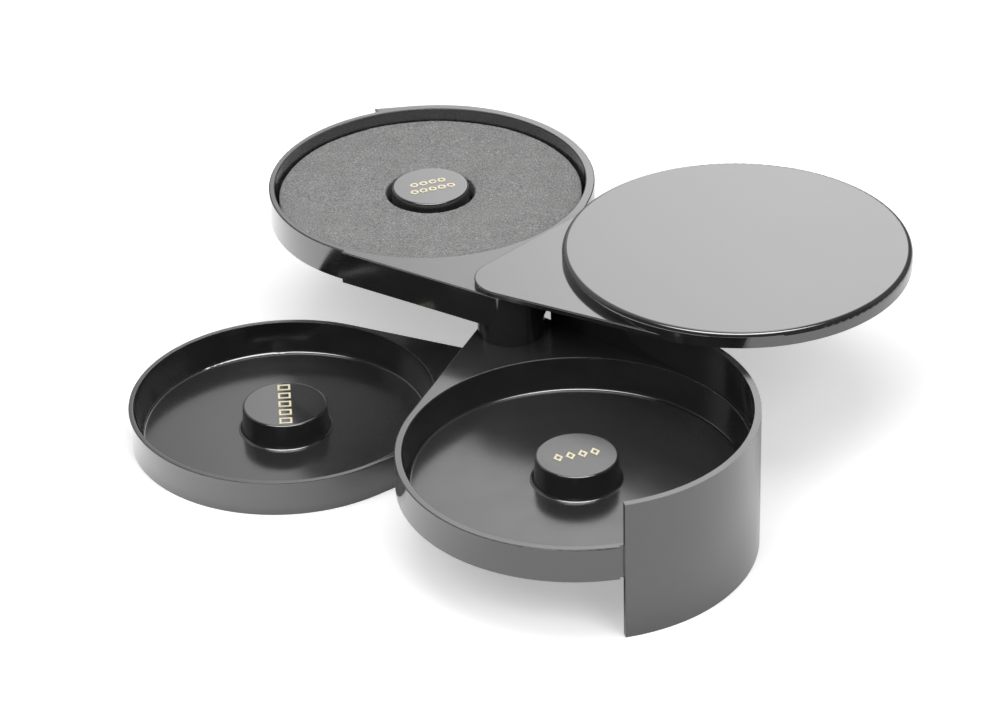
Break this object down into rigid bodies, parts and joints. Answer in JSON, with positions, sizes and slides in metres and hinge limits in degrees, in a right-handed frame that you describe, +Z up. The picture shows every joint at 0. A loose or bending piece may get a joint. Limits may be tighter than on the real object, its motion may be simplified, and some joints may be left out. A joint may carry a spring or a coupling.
{
  "type": "glass rimmer",
  "caption": "Bar caddy for rimming cocktail glasses: salt, sugar and juice-sponge dishes and a lid that swing out on a shared pivot.",
  "frame": {"origin": "on the pivot axis, level with the table the rimmer stands on", "axes": "+Z up along the pivot axis; -Y along the arm of the salt tray, from the pivot to the middle of its dish; +X completes the right-handed frame"},
  "size_m": [0.3371, 0.3468, 0.074],
  "materials": {
    "black_salt": "gloss",
    "black_sugar": "gloss",
    "black_juice": "gloss",
    "black_lid": "gloss",
    "foam": "open foam",
    "gold_foil": "satin",
    "sleeve_steel": "turned",
    "screw_steel": "zinc plated",
    "insert_brass": "turned",
    "washer_steel": "zinc plated",
    "spring_steel": "blued",
    "nylon": "natural nylon",
    "cover_black": "satin"
  },
  "bodies": {
    "base": {"salt_tray": "black_salt", "pivot_sleeve": "sleeve_steel", "salt_mark": "gold_foil", "upper_friction_washer": "nylon"},
    "sugar": {"sugar_tray": "black_sugar", "sugar_mark": "gold_foil", "lower_friction_washer": "nylon", "screw_cover": "cover_black"},
    "juice": {"juice_tray": "black_juice", "juice_sponge": "foam", "juice_mark": "gold_foil", "lid_friction_washer": "nylon"},
    "cover": {"lid": "black_lid", "thread_insert": "insert_brass", "pivot_screw": "screw_steel", "plain_washer": "washer_steel", "spring_washer": "spring_steel"}
  },
  "joints": [
    {"name": "sugar_swing", "type": "hinge", "parent": "base", "child": "sugar", "pos_m": [0, 0, 0.008], "axis": [0, 0, 1], "range_deg": [-12, 100.9]},
    {"name": "juice_swing", "type": "hinge", "parent": "base", "child": "juice", "pos_m": [0, 0, 0.05], "axis": [0, 0, 1], "range_deg": [0, 173.6]},
    {"name": "lid_swing", "type": "hinge", "parent": "base", "child": "cover", "pos_m": [0, 0, 0.068], "axis": [0, 0, 1], "range_deg": [-84, 276]}
  ]
}
